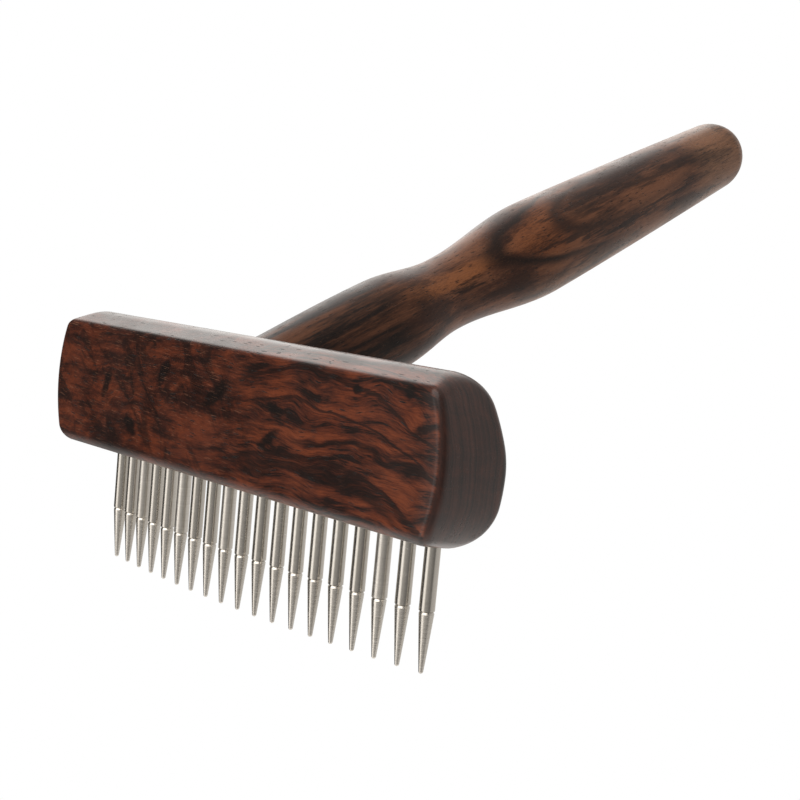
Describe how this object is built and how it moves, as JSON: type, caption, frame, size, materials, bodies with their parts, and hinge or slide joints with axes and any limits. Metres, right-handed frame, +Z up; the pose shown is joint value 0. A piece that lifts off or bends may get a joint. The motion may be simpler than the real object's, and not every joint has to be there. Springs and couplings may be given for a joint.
{
  "type": "undercoat rake brush",
  "caption": "Wooden T-shaped coat rake for pets: solid hardwood head with a curved row of rolling steel teeth, and a tilted turned hardwood handle.",
  "frame": {"origin": "centre of the head's flat front face", "axes": "+X along the head, +Y from the front face towards the handle, +Z up; the teeth point along -Z and the handle leans up from +Y"},
  "size_m": [0.1104, 0.1771, 0.1171],
  "materials": {
    "head_wood": "oiled rosewood, fine pores, soft satin sheen",
    "handle_wood": "turned rosewood, soft satin sheen",
    "pin_steel": "turned stainless steel, satin with fine circumferential lines",
    "sleeve_steel": "polished stainless tube, slightly worn"
  },
  "bodies": {
    "rake": {"head_block": "head_wood", "handle": "handle_wood", "tooth_pin_01": "pin_steel", "tooth_pin_02": "pin_steel", "tooth_pin_03": "pin_steel", "tooth_pin_04": "pin_steel", "tooth_pin_05": "pin_steel", "tooth_pin_06": "pin_steel", "tooth_pin_07": "pin_steel", "tooth_pin_08": "pin_steel", "tooth_pin_09": "pin_steel", "tooth_pin_10": "pin_steel", "tooth_pin_11": "pin_steel", "tooth_pin_12": "pin_steel", "tooth_pin_13": "pin_steel", "tooth_pin_14": "pin_steel", "tooth_pin_15": "pin_steel", "tooth_pin_16": "pin_steel", "tooth_pin_17": "pin_steel", "tooth_pin_18": "pin_steel", "tooth_pin_19": "pin_steel"},
    "sleeve_01": {"tooth_sleeve_01": "sleeve_steel"},
    "sleeve_02": {"tooth_sleeve_02": "sleeve_steel"},
    "sleeve_03": {"tooth_sleeve_03": "sleeve_steel"},
    "sleeve_04": {"tooth_sleeve_04": "sleeve_steel"},
    "sleeve_05": {"tooth_sleeve_05": "sleeve_steel"},
    "sleeve_06": {"tooth_sleeve_06": "sleeve_steel"},
    "sleeve_07": {"tooth_sleeve_07": "sleeve_steel"},
    "sleeve_08": {"tooth_sleeve_08": "sleeve_steel"},
    "sleeve_09": {"tooth_sleeve_09": "sleeve_steel"},
    "sleeve_10": {"tooth_sleeve_10": "sleeve_steel"},
    "sleeve_11": {"tooth_sleeve_11": "sleeve_steel"},
    "sleeve_12": {"tooth_sleeve_12": "sleeve_steel"},
    "sleeve_13": {"tooth_sleeve_13": "sleeve_steel"},
    "sleeve_14": {"tooth_sleeve_14": "sleeve_steel"},
    "sleeve_15": {"tooth_sleeve_15": "sleeve_steel"},
    "sleeve_16": {"tooth_sleeve_16": "sleeve_steel"},
    "sleeve_17": {"tooth_sleeve_17": "sleeve_steel"},
    "sleeve_18": {"tooth_sleeve_18": "sleeve_steel"},
    "sleeve_19": {"tooth_sleeve_19": "sleeve_steel"}
  },
  "joints": [
    {"name": "sleeve_spin_01", "type": "hinge", "parent": "rake", "child": "sleeve_01", "pos_m": [-0.045, 0.01183, -0.02], "axis": [0, 0, 1], "continuous": true},
    {"name": "sleeve_spin_02", "type": "hinge", "parent": "rake", "child": "sleeve_02", "pos_m": [-0.04, 0.01117, -0.02], "axis": [0, 0, 1], "continuous": true},
    {"name": "sleeve_spin_03", "type": "hinge", "parent": "rake", "child": "sleeve_03", "pos_m": [-0.035, 0.01059, -0.02], "axis": [0, 0, 1], "continuous": true},
    {"name": "sleeve_spin_04", "type": "hinge", "parent": "rake", "child": "sleeve_04", "pos_m": [-0.03, 0.01009, -0.02], "axis": [0, 0, 1], "continuous": true},
    {"name": "sleeve_spin_05", "type": "hinge", "parent": "rake", "child": "sleeve_05", "pos_m": [-0.025, 0.00966, -0.02], "axis": [0, 0, 1], "continuous": true},
    {"name": "sleeve_spin_06", "type": "hinge", "parent": "rake", "child": "sleeve_06", "pos_m": [-0.02, 0.00932, -0.02], "axis": [0, 0, 1], "continuous": true},
    {"name": "sleeve_spin_07", "type": "hinge", "parent": "rake", "child": "sleeve_07", "pos_m": [-0.015, 0.00905, -0.02], "axis": [0, 0, 1], "continuous": true},
    {"name": "sleeve_spin_08", "type": "hinge", "parent": "rake", "child": "sleeve_08", "pos_m": [-0.01, 0.00885, -0.02], "axis": [0, 0, 1], "continuous": true},
    {"name": "sleeve_spin_09", "type": "hinge", "parent": "rake", "child": "sleeve_09", "pos_m": [-0.005, 0.00874, -0.02], "axis": [0, 0, 1], "continuous": true},
    {"name": "sleeve_spin_10", "type": "hinge", "parent": "rake", "child": "sleeve_10", "pos_m": [0, 0.0087, -0.02], "axis": [0, 0, 1], "continuous": true},
    {"name": "sleeve_spin_11", "type": "hinge", "parent": "rake", "child": "sleeve_11", "pos_m": [0.005, 0.00874, -0.02], "axis": [0, 0, 1], "continuous": true},
    {"name": "sleeve_spin_12", "type": "hinge", "parent": "rake", "child": "sleeve_12", "pos_m": [0.01, 0.00885, -0.02], "axis": [0, 0, 1], "continuous": true},
    {"name": "sleeve_spin_13", "type": "hinge", "parent": "rake", "child": "sleeve_13", "pos_m": [0.015, 0.00905, -0.02], "axis": [0, 0, 1], "continuous": true},
    {"name": "sleeve_spin_14", "type": "hinge", "parent": "rake", "child": "sleeve_14", "pos_m": [0.02, 0.00932, -0.02], "axis": [0, 0, 1], "continuous": true},
    {"name": "sleeve_spin_15", "type": "hinge", "parent": "rake", "child": "sleeve_15", "pos_m": [0.025, 0.00966, -0.02], "axis": [0, 0, 1], "continuous": true},
    {"name": "sleeve_spin_16", "type": "hinge", "parent": "rake", "child": "sleeve_16", "pos_m": [0.03, 0.01009, -0.02], "axis": [0, 0, 1], "continuous": true},
    {"name": "sleeve_spin_17", "type": "hinge", "parent": "rake", "child": "sleeve_17", "pos_m": [0.035, 0.01059, -0.02], "axis": [0, 0, 1], "continuous": true},
    {"name": "sleeve_spin_18", "type": "hinge", "parent": "rake", "child": "sleeve_18", "pos_m": [0.04, 0.01117, -0.02], "axis": [0, 0, 1], "continuous": true},
    {"name": "sleeve_spin_19", "type": "hinge", "parent": "rake", "child": "sleeve_19", "pos_m": [0.045, 0.01183, -0.02], "axis": [0, 0, 1], "continuous": true}
  ]
}
